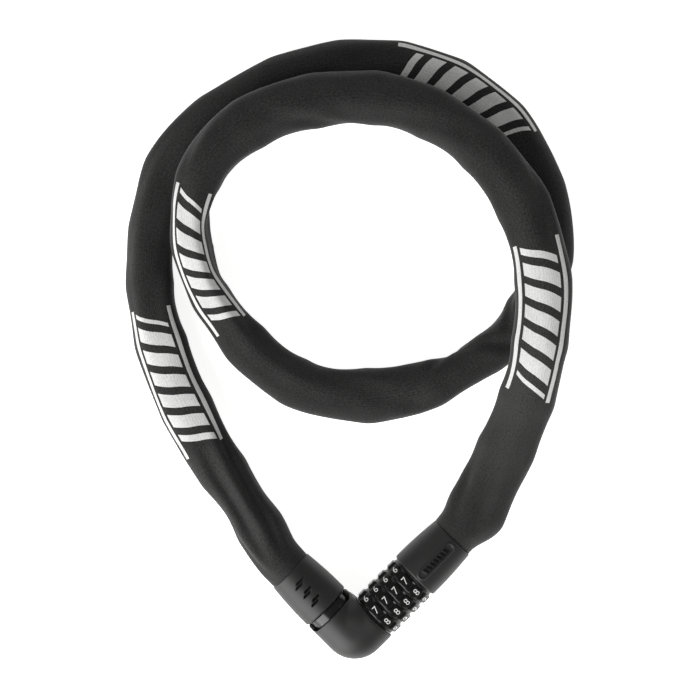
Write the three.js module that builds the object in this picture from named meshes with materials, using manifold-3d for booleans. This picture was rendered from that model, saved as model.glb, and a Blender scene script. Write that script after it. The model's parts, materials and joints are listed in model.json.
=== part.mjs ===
// Chain lock with a four-dial code, drawn in millimetres with +Z up.
//
// The lock body is an elbow. Its two arms lie flat, at right angles, with their axes at one height.
// The dial arm carries the dials and the tail cap. The plug arm takes the plug, which slides out.
// A square-link chain in a textile sleeve runs in two loose turns from the plug to the tail cap.
import * as THREE from 'three';
import { mergeVertices } from 'three/addons/utils/BufferGeometryUtils.js';
import Module from 'manifold-3d';

const wasm = await Module();
wasm.setup();

// ---------- driving dimensions ----------

const GAP = 0.3;                    // clearance between neighbouring pieces
const OVERRUN = 1;                  // how far a cutting tool runs past the face that it cuts
const BARREL_R = 12.7;              // outer radius of the elbow and both caps
const AXIS_HEIGHT = BARREL_R;       // both arm axes lie this high above the floor

// Elbow: a rounded corner whose tube is turned about an upright axis.
const CORNER_OFFSET = 3.15;         // from the upright axis to the centre of the tube
const DIAL_MOUTH = 12.8;            // where the elbow ends along the dial arm
const PLUG_MOUTH = 19.1;            // where the elbow ends along the plug arm
const RIM = 0.5;                    // chamfer of the elbow's and the caps' edges

// Dial stack, measured along the dial arm from the crossing of the two axes.
const DIAL_COUNT = 4;
const DIAL_PITCH = 6.5;
const DIAL_WIDTH = 6.1;
const FIRST_DIAL = 16.8;            // middle of the first dial
const DIAL_BORE_R = 11;
const DIAL_CORE_R = 11.8;
const PAD_R = 12.55;
const PAD_WIDTH = 4.3;
const DIGITS = 10;
const READING_TILT = 13;            // degrees from straight up to the row that is read

// Code rings and the spindle that they block.
const RING_R = 10.7;
const RING_WALL_R = 9.9;
const RING_WIDTH = 5.8;
const FLANGE_THICK = 1.2;
const FIN_THICK = 1.2;
const FIN_R = 9.5;
const FIN_HALF_WIDTH = 1;
const SPINDLE_TRAVEL = 3;
const SHAFT_R = 3.2;

// Tube on which the dials turn.
const TUBE_R = 8;
const TUBE_BORE_R = 6.3;
const TUBE_START = 6;
const TUBE_END = 47;
const WASHER_R = 11.6;
const WASHER_THICK = 1.35;
const REBATE_DEPTH = 1;

// Caps, each with a cavity for the chain's anchor.
const CAP_MOUTH_R = 11.5;
const CAP_CAVITY_R = 10.9;
const TAIL_START = 40.3;
const TAIL_END = 66.1;
const TAIL_WALL = 43.3;             // inner face of the tail cap's front wall
const PLUG_START = PLUG_MOUTH + GAP;
const PLUG_END = 43.7;
const PLUG_WALL = 21.9;             // inner face of the plug cap's front wall
const ANCHOR_R = CAP_CAVITY_R - GAP;

// Bolt and its latch.
const BOLT_R = 4.5;
const BOLT_TIP = -3.2;
const BOLT_FLANGE_THICK = 2;
const GROOVE_R = 3;
const GROOVE_HALF = 1.3;
const COLLAR_R = 10.9;
const COLLAR_START = 13.9;
const WINDOW_START = 15.9;
const WINDOW_HALF_WIDTH = 11.7;
const WINDOW_LOW_EDGE = 3;          // height of the window's lower edge above the arm's axis
const WINDOW_CORNER = 1.4;
const LATCH_HALF_WIDTH = 1;
const LATCH_BRIDGE = -6.3;          // where the clip's bridge is, along the dial arm
const LATCH_BRIDGE_THICK = 1.6;
const LATCH_LEG_OUTER = 5;
const LATCH_LEG_END = 8;
const LATCH_ROOM = 1.4;             // room for the legs to spring apart

// Chain and sleeve.
const LINK_COUNT = 32;
const LINK_BAR = 3.7;
const LINK_INNER_WIDTH = 8.4;
const LINK_CORNER = 5.5;            // outer corner radius of a link
const LINK_INNER_CORNER = 0.6;
const LINK_SLACK = 1.5;             // free play of one link on the next
const LINK_ROLL = 0.75;             // links lean this far, in radians, to either side by turns
const LINK_CLEARANCE = 0.9;         // room on each side of a link in its anchor's slot
const PIN_R = 2.3;
const PIN_SETBACK = 5.6;            // from a cap's mouth back to its chain pin
const PIN_HALF_LENGTH = 9.9;
const SLEEVE_HALF_WIDTH = 12;
const SLEEVE_HALF_HEIGHT = 10;
const SLEEVE_WALL = 0.9;
const SLEEVE_STEPS = 78;
const REST = SLEEVE_HALF_HEIGHT + 0.2;   // height of the sleeve's middle where it lies on the floor

const ROUND = 32;                   // sides of a large turned body
const SMALL_ROUND = 24;             // sides of a small or hidden one

const DIAL_ARM = -Math.PI / 4;      // turns the local +Y axis onto the dial arm
const PLUG_ARM = Math.PI / 4;       // turns the local +Y axis onto the plug arm

// ---------- materials ----------

function material(color, roughness, metalness) {
  return new THREE.MeshStandardMaterial({ color, roughness, metalness });
}

const mattePlastic = material(0x2e2d2c, 0.62, 0);
const glossPlastic = material(0x0b0b0c, 0.18, 0);
const steel = material(0x9a9c9f, 0.35, 1);
const darkSteel = material(0x55585c, 0.4, 1);
const springSteel = material(0x7f8286, 0.3, 1);
const brass = material(0xb08d4a, 0.35, 1);
const fabric = material(0x1c1c1d, 0.9, 0);

// ---------- solids ----------

// A closed solid for joining and cutting, from a three.js geometry.
function toSolid(geometry) {
  const bare = geometry.index ? geometry.clone() : geometry;
  bare.deleteAttribute('normal');
  bare.deleteAttribute('uv');
  const merged = mergeVertices(bare, 1e-4);
  const corners = merged.index.array;
  const kept = [];
  for (let i = 0; i < corners.length; i += 3) {
    const [a, b, c] = [corners[i], corners[i + 1], corners[i + 2]];
    if (a !== b && b !== c && c !== a) kept.push(a, b, c);
  }
  return new wasm.Manifold(new wasm.Mesh({
    numProp: 3,
    vertProperties: new Float32Array(merged.attributes.position.array),
    triVerts: new Uint32Array(kept),
  }));
}

function toGeometry(solid) {
  const mesh = solid.getMesh();
  const geometry = new THREE.BufferGeometry();
  geometry.setAttribute('position', new THREE.BufferAttribute(mesh.vertProperties, 3));
  geometry.setIndex(new THREE.BufferAttribute(mesh.triVerts, 1));
  geometry.computeVertexNormals();
  return geometry;
}

function join(...geometries) {
  return toGeometry(geometries.map(toSolid).reduce((whole, next) => whole.add(next)));
}

function cut(geometry, ...tools) {
  return toGeometry(tools.map(toSolid).reduce((rest, tool) => rest.subtract(tool), toSolid(geometry)));
}

// A body turned about the local Y axis from [radius, place along the axis] points.
// The outline runs anticlockwise, and either starts and ends on the axis or closes on itself.
function turned(outline, segments = ROUND) {
  return new THREE.LatheGeometry(outline.map(([r, y]) => new THREE.Vector2(r, y)), segments);
}

function rod(radius, from, to, segments = ROUND) {
  return turned([[0, from], [radius, from], [radius, to], [0, to]], segments);
}

function sleeveRing(innerR, outerR, from, to, segments = SMALL_ROUND) {
  return turned([[innerR, from], [outerR, from], [outerR, to], [innerR, to], [innerR, from]], segments);
}

// A box given by its lowest and highest corners.
function block(low, high) {
  const size = high.map((value, i) => value - low[i]);
  const middle = high.map((value, i) => (value + low[i]) / 2);
  return new THREE.BoxGeometry(...size).translate(...middle);
}

// ---------- scene graph ----------

const lock = new THREE.Group();
lock.position.z = AXIS_HEIGHT;

const dialArm = new THREE.Group();
dialArm.rotation.z = DIAL_ARM;
lock.add(dialArm);

const plugArm = new THREE.Group();
plugArm.rotation.z = PLUG_ARM;
lock.add(plugArm);

const chain = new THREE.Group();

function piece(parent, name, geometry, finish) {
  const mesh = new THREE.Mesh(geometry, finish);
  mesh.name = name;
  parent.add(mesh);
  return mesh;
}

// ---------- elbow ----------

function cornerForm() {
  const arcSteps = 12;
  const outline = [[0, -BARREL_R]];
  for (let i = 0; i <= arcSteps; i++) {
    const angle = -Math.PI / 2 + (Math.PI * i) / arcSteps;
    outline.push([CORNER_OFFSET + BARREL_R * Math.cos(angle), BARREL_R * Math.sin(angle)]);
  }
  outline.push([0, BARREL_R]);
  // The upright axis stands where both arm outlines run into the corner without a step.
  return turned(outline).rotateX(Math.PI / 2).translate(0, CORNER_OFFSET * Math.SQRT2, 0);
}

function armForm(end) {
  return turned([[0, CORNER_OFFSET], [BARREL_R, CORNER_OFFSET], [BARREL_R, end - RIM],
    [BARREL_R - RIM, end], [0, end]]);
}

// Opening in the rim of the plug arm, through which the plug's collar shows.
function windowTool() {
  const depth = PLUG_MOUTH - WINDOW_START;
  const corner = WINDOW_CORNER;
  const shape = new THREE.Shape();
  shape.moveTo(-WINDOW_HALF_WIDTH, depth + OVERRUN);
  shape.lineTo(-WINDOW_HALF_WIDTH, corner);
  shape.quadraticCurveTo(-WINDOW_HALF_WIDTH, 0, -WINDOW_HALF_WIDTH + corner, 0);
  shape.lineTo(WINDOW_HALF_WIDTH - corner, 0);
  shape.quadraticCurveTo(WINDOW_HALF_WIDTH, 0, WINDOW_HALF_WIDTH, corner);
  shape.lineTo(WINDOW_HALF_WIDTH, depth + OVERRUN);
  const form = new THREE.ExtrudeGeometry(shape, { depth: BARREL_R, bevelEnabled: false, curveSegments: 4 });
  return form.translate(0, WINDOW_START, WINDOW_LOW_EDGE);
}

function latchSlotTool() {
  const halfWidth = LATCH_HALF_WIDTH + 0.5;
  const halfHeight = LATCH_LEG_OUTER + LATCH_ROOM;
  return block([-halfWidth, LATCH_BRIDGE - 2 * GAP, -halfHeight], [halfWidth, TUBE_START, halfHeight]);
}

function elbowHousing() {
  const dialStub = armForm(DIAL_MOUTH).rotateZ(DIAL_ARM);
  const plugStub = armForm(PLUG_MOUTH).rotateZ(PLUG_ARM);
  const whole = join(cornerForm(), dialStub, plugStub);
  const beyond = 2 * BARREL_R;
  const dialTools = [
    block([-beyond, DIAL_MOUTH, -beyond], [beyond, DIAL_MOUTH + beyond, beyond]),
    rod(TUBE_R + GAP, TUBE_START - GAP, DIAL_MOUTH + OVERRUN),
    rod(WASHER_R + GAP, DIAL_MOUTH - REBATE_DEPTH, DIAL_MOUTH + OVERRUN),
    latchSlotTool(),
  ].map((tool) => tool.rotateZ(DIAL_ARM));
  const plugTools = [
    rod(BOLT_R + GAP, BOLT_TIP - GAP, PLUG_MOUTH),
    rod(COLLAR_R + GAP, COLLAR_START - GAP, PLUG_MOUTH + OVERRUN),
    windowTool(),
  ].map((tool) => tool.rotateZ(PLUG_ARM));
  return cut(whole, ...dialTools, ...plugTools);
}

piece(lock, 'elbow_housing', elbowHousing(), mattePlastic);

// ---------- dials and code rings ----------

function dialMiddle(index) {
  return FIRST_DIAL + DIAL_PITCH * index;
}

// Ten raised finger pads with a scalloped valley between each two.
function padBand() {
  const step = (2 * Math.PI) / DIGITS;
  const padParts = [-0.34, -0.17, 0, 0.17, 0.34];   // places across a pad, as shares of one step
  const valleyR = DIAL_CORE_R - 0.1;
  const weld = 0.4;                 // how deep the band's bore lies outside the dial's own
  const shape = new THREE.Shape();
  const points = [];
  for (let digit = 0; digit < DIGITS; digit++) {
    for (const part of padParts) {
      const angle = (digit + part) * step;
      points.push(new THREE.Vector2(PAD_R * Math.cos(angle), PAD_R * Math.sin(angle)));
    }
    const valley = (digit + 0.5) * step;
    points.push(new THREE.Vector2(valleyR * Math.cos(valley), valleyR * Math.sin(valley)));
  }
  shape.setFromPoints(points);
  const bore = new THREE.Path().absarc(0, 0, DIAL_BORE_R + weld, 0, 2 * Math.PI, true);
  shape.holes.push(bore);
  const band = new THREE.ExtrudeGeometry(shape, { depth: PAD_WIDTH, bevelEnabled: false, curveSegments: 12 });
  // Stand the band on the arm's axis, with one pad on the row that is read.
  const readingAngle = Math.PI / 2 + THREE.MathUtils.degToRad(READING_TILT);
  return band.translate(0, 0, -PAD_WIDTH / 2).rotateZ(readingAngle).rotateX(Math.PI / 2);
}

function dial() {
  return join(sleeveRing(DIAL_BORE_R, DIAL_CORE_R, -DIAL_WIDTH / 2, DIAL_WIDTH / 2), padBand());
}

function codeRing() {
  const half = RING_WIDTH / 2;
  const flange = FLANGE_THICK / 2;
  const boreR = TUBE_R + GAP;
  const ring = turned([[RING_WALL_R, -half], [RING_R, -half], [RING_R, half], [RING_WALL_R, half],
    [RING_WALL_R, flange], [boreR, flange], [boreR, -flange], [RING_WALL_R, -flange],
    [RING_WALL_R, -half]], SMALL_ROUND);
  const gateHalf = FIN_HALF_WIDTH + 0.5;
  return cut(ring, block([-gateHalf, -FLANGE_THICK, boreR - OVERRUN], [gateHalf, FLANGE_THICK, RING_WALL_R]));
}

for (let i = 0; i < DIAL_COUNT; i++) {
  piece(dialArm, `dial_${i + 1}`, dial(), glossPlastic).position.y = dialMiddle(i);
  piece(dialArm, `code_ring_${i + 1}`, codeRing(), brass).position.y = dialMiddle(i);
}

function washer(from) {
  return sleeveRing(TUBE_R + GAP, WASHER_R, from, from + WASHER_THICK);
}

piece(dialArm, 'dial_washer_elbow', washer(DIAL_MOUTH - REBATE_DEPTH + GAP), glossPlastic);
piece(dialArm, 'dial_washer_tail', washer(TAIL_START + REBATE_DEPTH - GAP - WASHER_THICK), glossPlastic);

// ---------- tube, spindle and springs ----------

const SLOT_START = 13.4;
const DETENT_START = 14.2;
const DETENT_END = 39;
const DETENT_FLOOR = 7;
const DETENT_HALF_WIDTH = 1.5;
const DETENT_THICK = 0.4;

function dialTube() {
  const slotHalf = FIN_HALF_WIDTH + GAP;
  const slot = block([-slotHalf, SLOT_START, TUBE_BORE_R / 2],
    [slotHalf, TUBE_END + OVERRUN, TUBE_R + OVERRUN]);
  const grooveHalf = DETENT_HALF_WIDTH + GAP;
  const detentGroove = block([-grooveHalf, DETENT_START - GAP, -TUBE_R - OVERRUN],
    [grooveHalf, DETENT_END + GAP, -DETENT_FLOOR]);
  return cut(sleeveRing(TUBE_BORE_R, TUBE_R, TUBE_START, TUBE_END), slot, detentGroove);
}

// A leaf in the tube's groove, with one bump under each code ring.
function detentSpring() {
  const bottom = -DETENT_FLOOR - GAP;
  const leaf = block([-DETENT_HALF_WIDTH, DETENT_START, bottom - DETENT_THICK],
    [DETENT_HALF_WIDTH, DETENT_END, bottom]);
  const bumpHalf = 0.5;
  const bumpHeight = 0.2;
  const bumps = [];
  for (let i = 0; i < DIAL_COUNT; i++) {
    const middle = dialMiddle(i);
    bumps.push(block([-2 * bumpHalf, middle - bumpHalf, bottom - DETENT_THICK - bumpHeight],
      [2 * bumpHalf, middle + bumpHalf, bottom - DETENT_THICK / 2]));
  }
  return join(leaf, ...bumps);
}

const CUP_RIM = 6.5;
const CUP_FLOOR = 8.9;
const CUP_BACK = 9.8;
const CUP_R = TUBE_BORE_R - GAP;
const CUP_BORE_R = 5.35;
const SHOULDER_START = 40;
const SHOULDER_END = 41.5;
const SHAFT_END = 47.5;
const COIL_R = 4.9;                 // mean radius of the return spring
const COIL_WIRE_R = 0.45;
const COIL_TURNS = 5;

function codeSpindle() {
  const shaft = turned([[0, CUP_FLOOR], [CUP_BORE_R, CUP_FLOOR], [CUP_BORE_R, CUP_RIM], [CUP_R, CUP_RIM],
    [CUP_R, CUP_BACK], [SHAFT_R, CUP_BACK], [SHAFT_R, SHOULDER_START], [CUP_R, SHOULDER_START],
    [CUP_R, SHOULDER_END], [SHAFT_R, SHOULDER_END], [SHAFT_R, SHAFT_END], [0, SHAFT_END]], SMALL_ROUND);
  const fins = [];
  for (let i = 0; i < DIAL_COUNT; i++) {
    const middle = dialMiddle(i) - SPINDLE_TRAVEL / 2;
    fins.push(block([-FIN_HALF_WIDTH, middle - FIN_THICK / 2, SHAFT_R - 1],
      [FIN_HALF_WIDTH, middle + FIN_THICK / 2, FIN_R]));
  }
  return join(shaft, ...fins);
}

class Helix extends THREE.Curve {
  constructor(radius, from, to, turns) {
    super();
    this.radius = radius;
    this.from = from;
    this.to = to;
    this.turns = turns;
  }

  getPoint(t, target = new THREE.Vector3()) {
    const angle = 2 * Math.PI * this.turns * t;
    return target.set(this.radius * Math.cos(angle), this.from + (this.to - this.from) * t,
      this.radius * Math.sin(angle));
  }
}

function coilSpring(radius, wireR, from, to, turns) {
  const section = new THREE.Shape().absarc(0, 0, wireR, 0, 2 * Math.PI);
  return new THREE.ExtrudeGeometry(section, {
    steps: turns * 8,
    curveSegments: 3,
    bevelEnabled: false,
    extrudePath: new Helix(radius, from + wireR, to - wireR, turns),
  });
}

const ANCHOR_START = 51.5;

piece(dialArm, 'dial_tube', dialTube(), darkSteel);
piece(dialArm, 'detent_spring', detentSpring(), springSteel);
piece(dialArm, 'code_spindle', codeSpindle(), steel);
piece(dialArm, 'spindle_spring',
  coilSpring(COIL_R, COIL_WIRE_R, SHOULDER_END + GAP, ANCHOR_START - GAP, COIL_TURNS), springSteel);
piece(dialArm, 'tube_nut', sleeveRing(TUBE_R + GAP, ANCHOR_R, TAIL_WALL + GAP, TUBE_END - GAP), darkSteel);

// ---------- latch ----------

// A spring clip round the bolt's groove. Its free ends reach into the spindle's cup.
function latchClip() {
  const legInner = GROOVE_R + GAP;
  const outside = block([-LATCH_HALF_WIDTH, LATCH_BRIDGE, -LATCH_LEG_OUTER],
    [LATCH_HALF_WIDTH, LATCH_LEG_END, LATCH_LEG_OUTER]);
  const inside = block([-LATCH_HALF_WIDTH - OVERRUN, LATCH_BRIDGE + LATCH_BRIDGE_THICK, -legInner],
    [LATCH_HALF_WIDTH + OVERRUN, LATCH_LEG_END + OVERRUN, legInner]);
  return cut(outside, inside);
}

piece(dialArm, 'latch_clip', latchClip(), springSteel);

// ---------- caps ----------

// Outline of a cap from its front edge to its mouth, for the outside of the shell.
function capOutside(start, end) {
  const length = end - start;
  return [[BARREL_R - RIM, start], [BARREL_R, start + RIM], [BARREL_R - 0.05, start + 0.35 * length],
    [BARREL_R - 0.45, start + 0.65 * length], [CAP_MOUTH_R + 0.15, end - 1.6], [CAP_MOUTH_R, end - 0.7],
    [CAP_MOUTH_R - 0.3, end]];
}

function capShell(start, end, wall, holeR) {
  return turned([[holeR, start], ...capOutside(start, end), [CAP_CAVITY_R, end], [CAP_CAVITY_R, wall],
    [holeR, wall], [holeR, start]]);
}

// A slim slanted lozenge, standing up as a cutting tool.
function lozenge(shiftX, shiftY) {
  const tip = [3.2, 0.9];
  const shoulder = [0.4, -0.6];
  const shape = new THREE.Shape();
  shape.moveTo(shiftX - tip[0], shiftY - tip[1]);
  shape.lineTo(shiftX + shoulder[0], shiftY + shoulder[1]);
  shape.lineTo(shiftX + tip[0], shiftY + tip[1]);
  shape.lineTo(shiftX - shoulder[0], shiftY - shoulder[1]);
  return new THREE.ExtrudeGeometry(shape, { depth: 2 * OVERRUN, bevelEnabled: false });
}

// One grip mark: two lozenges, side by side and half overlapping, laid across the cap.
function gripTool(middle) {
  const sideShift = 1.1;
  const alongShift = 0.45;
  const depth = 0.6;
  return join(lozenge(-sideShift, -alongShift), lozenge(sideShift, alongShift))
    .translate(0, middle, BARREL_R - depth);
}

function plugCap() {
  const gripPitch = 5.4;
  const firstGrip = 26.2;
  const grips = [0, 1, 2].map((i) => gripTool(firstGrip + gripPitch * i));
  return cut(capShell(PLUG_START, PLUG_END, PLUG_WALL, BOLT_R + GAP), ...grips);
}

// A raised oblong plaque on top of the tail cap, following its outline.
function plaque() {
  const halfLength = 10.4;
  const halfWidth = 2.1;
  const shape = new THREE.Shape();
  shape.absarc(0, halfLength - halfWidth, halfWidth, 0, Math.PI);
  shape.absarc(0, -halfLength + halfWidth, halfWidth, Math.PI, 2 * Math.PI);
  const middle = (TAIL_START + TAIL_END) / 2;
  const column = new THREE.ExtrudeGeometry(shape, { depth: BARREL_R, bevelEnabled: false, curveSegments: 8 });
  const lean = THREE.MathUtils.degToRad(5);
  column.translate(0, middle, CAP_CAVITY_R - GAP).rotateY(lean);
  const raise = 0.25;
  const skin = turned([[0, TAIL_START], ...capOutside(TAIL_START, TAIL_END).map(([r, y]) => [r + raise, y]),
    [0, TAIL_END]]);
  const hollow = rod(CAP_CAVITY_R + 0.1, TAIL_START - OVERRUN, TAIL_END + OVERRUN);
  return toGeometry(toSolid(column).intersect(toSolid(skin)).subtract(toSolid(hollow)));
}

function tailCap() {
  const shell = capShell(TAIL_START, TAIL_END, TAIL_WALL, TUBE_R + GAP);
  const rebate = rod(WASHER_R + GAP, TAIL_START - OVERRUN, TAIL_START + REBATE_DEPTH);
  return cut(join(shell, plaque()), rebate);
}

piece(plugArm, 'plug_cap', plugCap(), mattePlastic);
piece(dialArm, 'tail_cap', tailCap(), mattePlastic);

// ---------- bolt and collar ----------

function boltPin() {
  const chamfer = 1;
  const flangeStart = PLUG_WALL + GAP;
  const flangeEnd = flangeStart + BOLT_FLANGE_THICK;
  return turned([[0, BOLT_TIP], [BOLT_R - chamfer, BOLT_TIP], [BOLT_R, BOLT_TIP + chamfer],
    [BOLT_R, -GROOVE_HALF], [GROOVE_R, -GROOVE_HALF], [GROOVE_R, GROOVE_HALF], [BOLT_R, GROOVE_HALF],
    [BOLT_R, flangeStart], [ANCHOR_R, flangeStart], [ANCHOR_R, flangeEnd], [0, flangeEnd]], SMALL_ROUND);
}

piece(plugArm, 'bolt_pin', boltPin(), steel);
piece(plugArm, 'plug_collar', sleeveRing(BOLT_R + GAP, COLLAR_R, COLLAR_START, PLUG_MOUTH), glossPlastic);

// ---------- chain anchors ----------

function linkOuterHalfWidth() {
  return LINK_INNER_WIDTH / 2 + LINK_BAR;
}

const MOUTH_RING_DEPTH = 1.8;       // from a cap's mouth to the inner face of its sleeve ring
const PIN_SIDES = 16;

// A block with a slot for the last link and a cross hole for the pin.
function anchor(from, mouth) {
  const slotHalf = LINK_BAR / 2 + LINK_CLEARANCE;
  const slotSide = linkOuterHalfWidth() + LINK_CLEARANCE;
  const pinPlace = mouth - PIN_SETBACK;
  const slotFloor = pinPlace - PIN_R - LINK_SLACK / 2 - LINK_BAR - GAP;
  const slot = block([-slotSide, slotFloor, -slotHalf], [slotSide, mouth, slotHalf]);
  const hole = rod(PIN_R + GAP, -ANCHOR_R - OVERRUN, ANCHOR_R + OVERRUN, PIN_SIDES);
  hole.rotateX(Math.PI / 2).translate(0, pinPlace, 0);
  return cut(rod(ANCHOR_R, from, mouth - MOUTH_RING_DEPTH - GAP, SMALL_ROUND), slot, hole).rotateY(LINK_ROLL);
}

function chainPin(mouth) {
  const pin = rod(PIN_R, -PIN_HALF_LENGTH, PIN_HALF_LENGTH, PIN_SIDES).rotateX(Math.PI / 2);
  return pin.translate(0, mouth - PIN_SETBACK, 0).rotateY(LINK_ROLL);
}

function mouthRing(mouth) {
  const linkRoom = 1.3;
  return sleeveRing(linkOuterHalfWidth() + linkRoom, ANCHOR_R, mouth - MOUTH_RING_DEPTH, mouth - GAP);
}

const ends = [
  { arm: plugArm, name: 'plug', from: PLUG_WALL + BOLT_FLANGE_THICK + 2 * GAP, mouth: PLUG_END },
  { arm: dialArm, name: 'tail', from: ANCHOR_START, mouth: TAIL_END },
];
for (const { arm, name, from, mouth } of ends) {
  piece(arm, `${name}_anchor`, anchor(from, mouth), darkSteel);
  piece(arm, `${name}_chain_pin`, chainPin(mouth), steel);
  piece(arm, `${name}_sleeve_ring`, mouthRing(mouth), mattePlastic);
}

// ---------- route of the chain and its sleeve ----------

// A place on an arm's axis, as floor coordinates.
function onPlugArm(along) {
  return [-along * Math.SQRT1_2, along * Math.SQRT1_2, AXIS_HEIGHT];
}

function onDialArm(along) {
  return [along * Math.SQRT1_2, along * Math.SQRT1_2, AXIS_HEIGHT];
}

const HIGH = 28.6;                   // where the second turn leans on the first one
const OVER = 31.3;                   // where it lies right on top

// Middle of the sleeve from the plug cap's mouth, round both turns, to the tail cap's mouth.
const ROUTE = [
  onPlugArm(PLUG_END + GAP),
  [-37.5, 38.3, 12.2], [-45, 50.4, 11.2], [-54.2, 65, 10.4], [-72, 92, REST], [-88.5, 126, REST],
  [-98.5, 166, REST], [-96.5, 200, REST], [-83.5, 232, REST], [-58, 254.5, REST], [-26, 269.5, REST],
  [10, 274, REST], [45.5, 265, REST], [74.5, 242, REST], [90, 212, REST], [94.2, 190, REST],
  [91.5, 172, REST], [84.5, 157, REST], [75, 144, REST], [59, 131.7, REST], [37, 120.5, REST],
  [8, 115, REST], [-22, 118.5, REST], [-45, 132.5, REST], [-62.5, 152, 11.8], [-73.8, 171, 17],
  [-78.5, 193, 24], [-74.5, 215, 28], [-62, 234, HIGH], [-40.5, 248, HIGH], [-12, 255, 28],
  [17, 254.3, 27.5], [42, 244.6, 28.3], [64, 226.3, 29.5], [80, 202, 30], [88.3, 169, OVER],
  [85.3, 130, 28.8], [77.2, 101.3, 18], [66.3, 76.6, 11.8],
  onDialArm(TAIL_END + GAP),
];

const chainEnds = {
  plug: onPlugArm(PLUG_END - PIN_SETBACK - PIN_R),
  tail: onDialArm(TAIL_END - PIN_SETBACK - PIN_R),
};
const route = new THREE.CatmullRomCurve3(
  [chainEnds.plug, ...ROUTE, chainEnds.tail].map((point) => new THREE.Vector3(...point)));

const UP = new THREE.Vector3(0, 0, 1);

// The part of the route outside the caps. Its cross-sections stay level, so the sleeve never rolls.
class SleeveRoute extends THREE.Curve {
  getPoint(t, target = new THREE.Vector3()) {
    const spans = ROUTE.length + 1;
    return route.getPoint((1 + t * (spans - 2)) / spans, target);
  }

  computeFrenetFrames(steps) {
    const frames = { tangents: [], normals: [], binormals: [] };
    for (let i = 0; i <= steps; i++) {
      const tangent = this.getTangentAt(i / steps);
      // The two end faces are square to the arms' axes.
      if (i === 0) tangent.set(-Math.SQRT1_2, Math.SQRT1_2, 0);
      if (i === steps) tangent.set(-Math.SQRT1_2, -Math.SQRT1_2, 0);
      const side = new THREE.Vector3().crossVectors(tangent, UP).normalize();
      frames.tangents.push(tangent);
      frames.normals.push(side);
      frames.binormals.push(new THREE.Vector3().crossVectors(tangent, side));
    }
    return frames;
  }
}

// ---------- sleeve ----------

// Points of a rounded, slightly flattened tube section.
function sleeveSection(halfWidth, halfHeight) {
  const sides = 12;
  const squareness = 0.85;          // 1 gives an ellipse, less fills its corners
  const points = [];
  for (let i = 0; i < sides; i++) {
    const angle = (2 * Math.PI * (i + 0.5)) / sides;
    const [c, s] = [Math.cos(angle), Math.sin(angle)];
    points.push(new THREE.Vector2(halfWidth * Math.sign(c) * Math.abs(c) ** squareness,
      halfHeight * Math.sign(s) * Math.abs(s) ** squareness));
  }
  return points;
}

function textileSleeve() {
  const section = new THREE.Shape(sleeveSection(SLEEVE_HALF_WIDTH, SLEEVE_HALF_HEIGHT));
  const hollow = sleeveSection(SLEEVE_HALF_WIDTH - SLEEVE_WALL, SLEEVE_HALF_HEIGHT - SLEEVE_WALL);
  section.holes.push(new THREE.Path(hollow.reverse()));
  return new THREE.ExtrudeGeometry(section, {
    steps: SLEEVE_STEPS,
    bevelEnabled: false,
    extrudePath: new SleeveRoute(),
  });
}

piece(chain, 'textile_sleeve', textileSleeve(), fabric);

// ---------- chain links ----------

// A rectangle with round corners, drawn into a shape or a hole.
function roundedRectangle(path, halfWidth, halfLength, corner) {
  path.moveTo(halfWidth, -halfLength + corner);
  path.lineTo(halfWidth, halfLength - corner);
  path.absarc(halfWidth - corner, halfLength - corner, corner, 0, Math.PI / 2);
  path.absarc(-halfWidth + corner, halfLength - corner, corner, Math.PI / 2, Math.PI);
  path.absarc(-halfWidth + corner, -halfLength + corner, corner, Math.PI, 1.5 * Math.PI);
  path.absarc(halfWidth - corner, -halfLength + corner, corner, 1.5 * Math.PI, 2 * Math.PI);
  return path;
}

function linkGeometry(innerLength) {
  const halfLength = innerLength / 2;
  const outer = roundedRectangle(new THREE.Shape(), linkOuterHalfWidth(), halfLength + LINK_BAR, LINK_CORNER);
  outer.holes.push(roundedRectangle(new THREE.Path(), LINK_INNER_WIDTH / 2, halfLength, LINK_INNER_CORNER));
  const bar = new THREE.ExtrudeGeometry(outer, { depth: LINK_BAR, bevelEnabled: false, curveSegments: 1 });
  return bar.translate(0, 0, -LINK_BAR / 2);
}

function placeLinks() {
  const joints = route.getSpacedPoints(LINK_COUNT);
  for (let i = 0; i < LINK_COUNT; i++) {
    const along = new THREE.Vector3().subVectors(joints[i + 1], joints[i]);
    const geometry = linkGeometry(along.length() + LINK_SLACK);
    along.normalize();
    const side = new THREE.Vector3().crossVectors(along, UP).normalize();
    const upright = new THREE.Vector3().crossVectors(side, along);
    const link = piece(chain, `chain_link_${String(i + 1).padStart(2, '0')}`, geometry, steel);
    link.setRotationFromMatrix(new THREE.Matrix4().makeBasis(side, along, upright));
    link.rotateY(i % 2 === 0 ? LINK_ROLL : -LINK_ROLL);
    link.position.addVectors(joints[i], joints[i + 1]).multiplyScalar(0.5);
  }
}

placeLinks();

// ---------- whole object ----------

// The origin is the middle of the lock body's base. The chain lies on the same floor.
const group = new THREE.Group();
group.add(lock, chain);
group.updateMatrixWorld(true);
const body = new THREE.Box3().setFromObject(lock, true);
group.position.set(-(body.min.x + body.max.x) / 2, -(body.min.y + body.max.y) / 2, -body.min.z);
group.updateMatrixWorld(true);

export default group;
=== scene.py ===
"""Looks of a code chain lock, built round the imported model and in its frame.

Lengths are in metres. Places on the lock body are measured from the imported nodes. The sleeve follows the
route of the chain, which is listed here as it is in the model's own source.
"""

import json
import math

import bmesh
import bpy
import numpy as np
from mathutils import Matrix, Vector, noise
from mathutils.bvhtree import BVHTree


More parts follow.
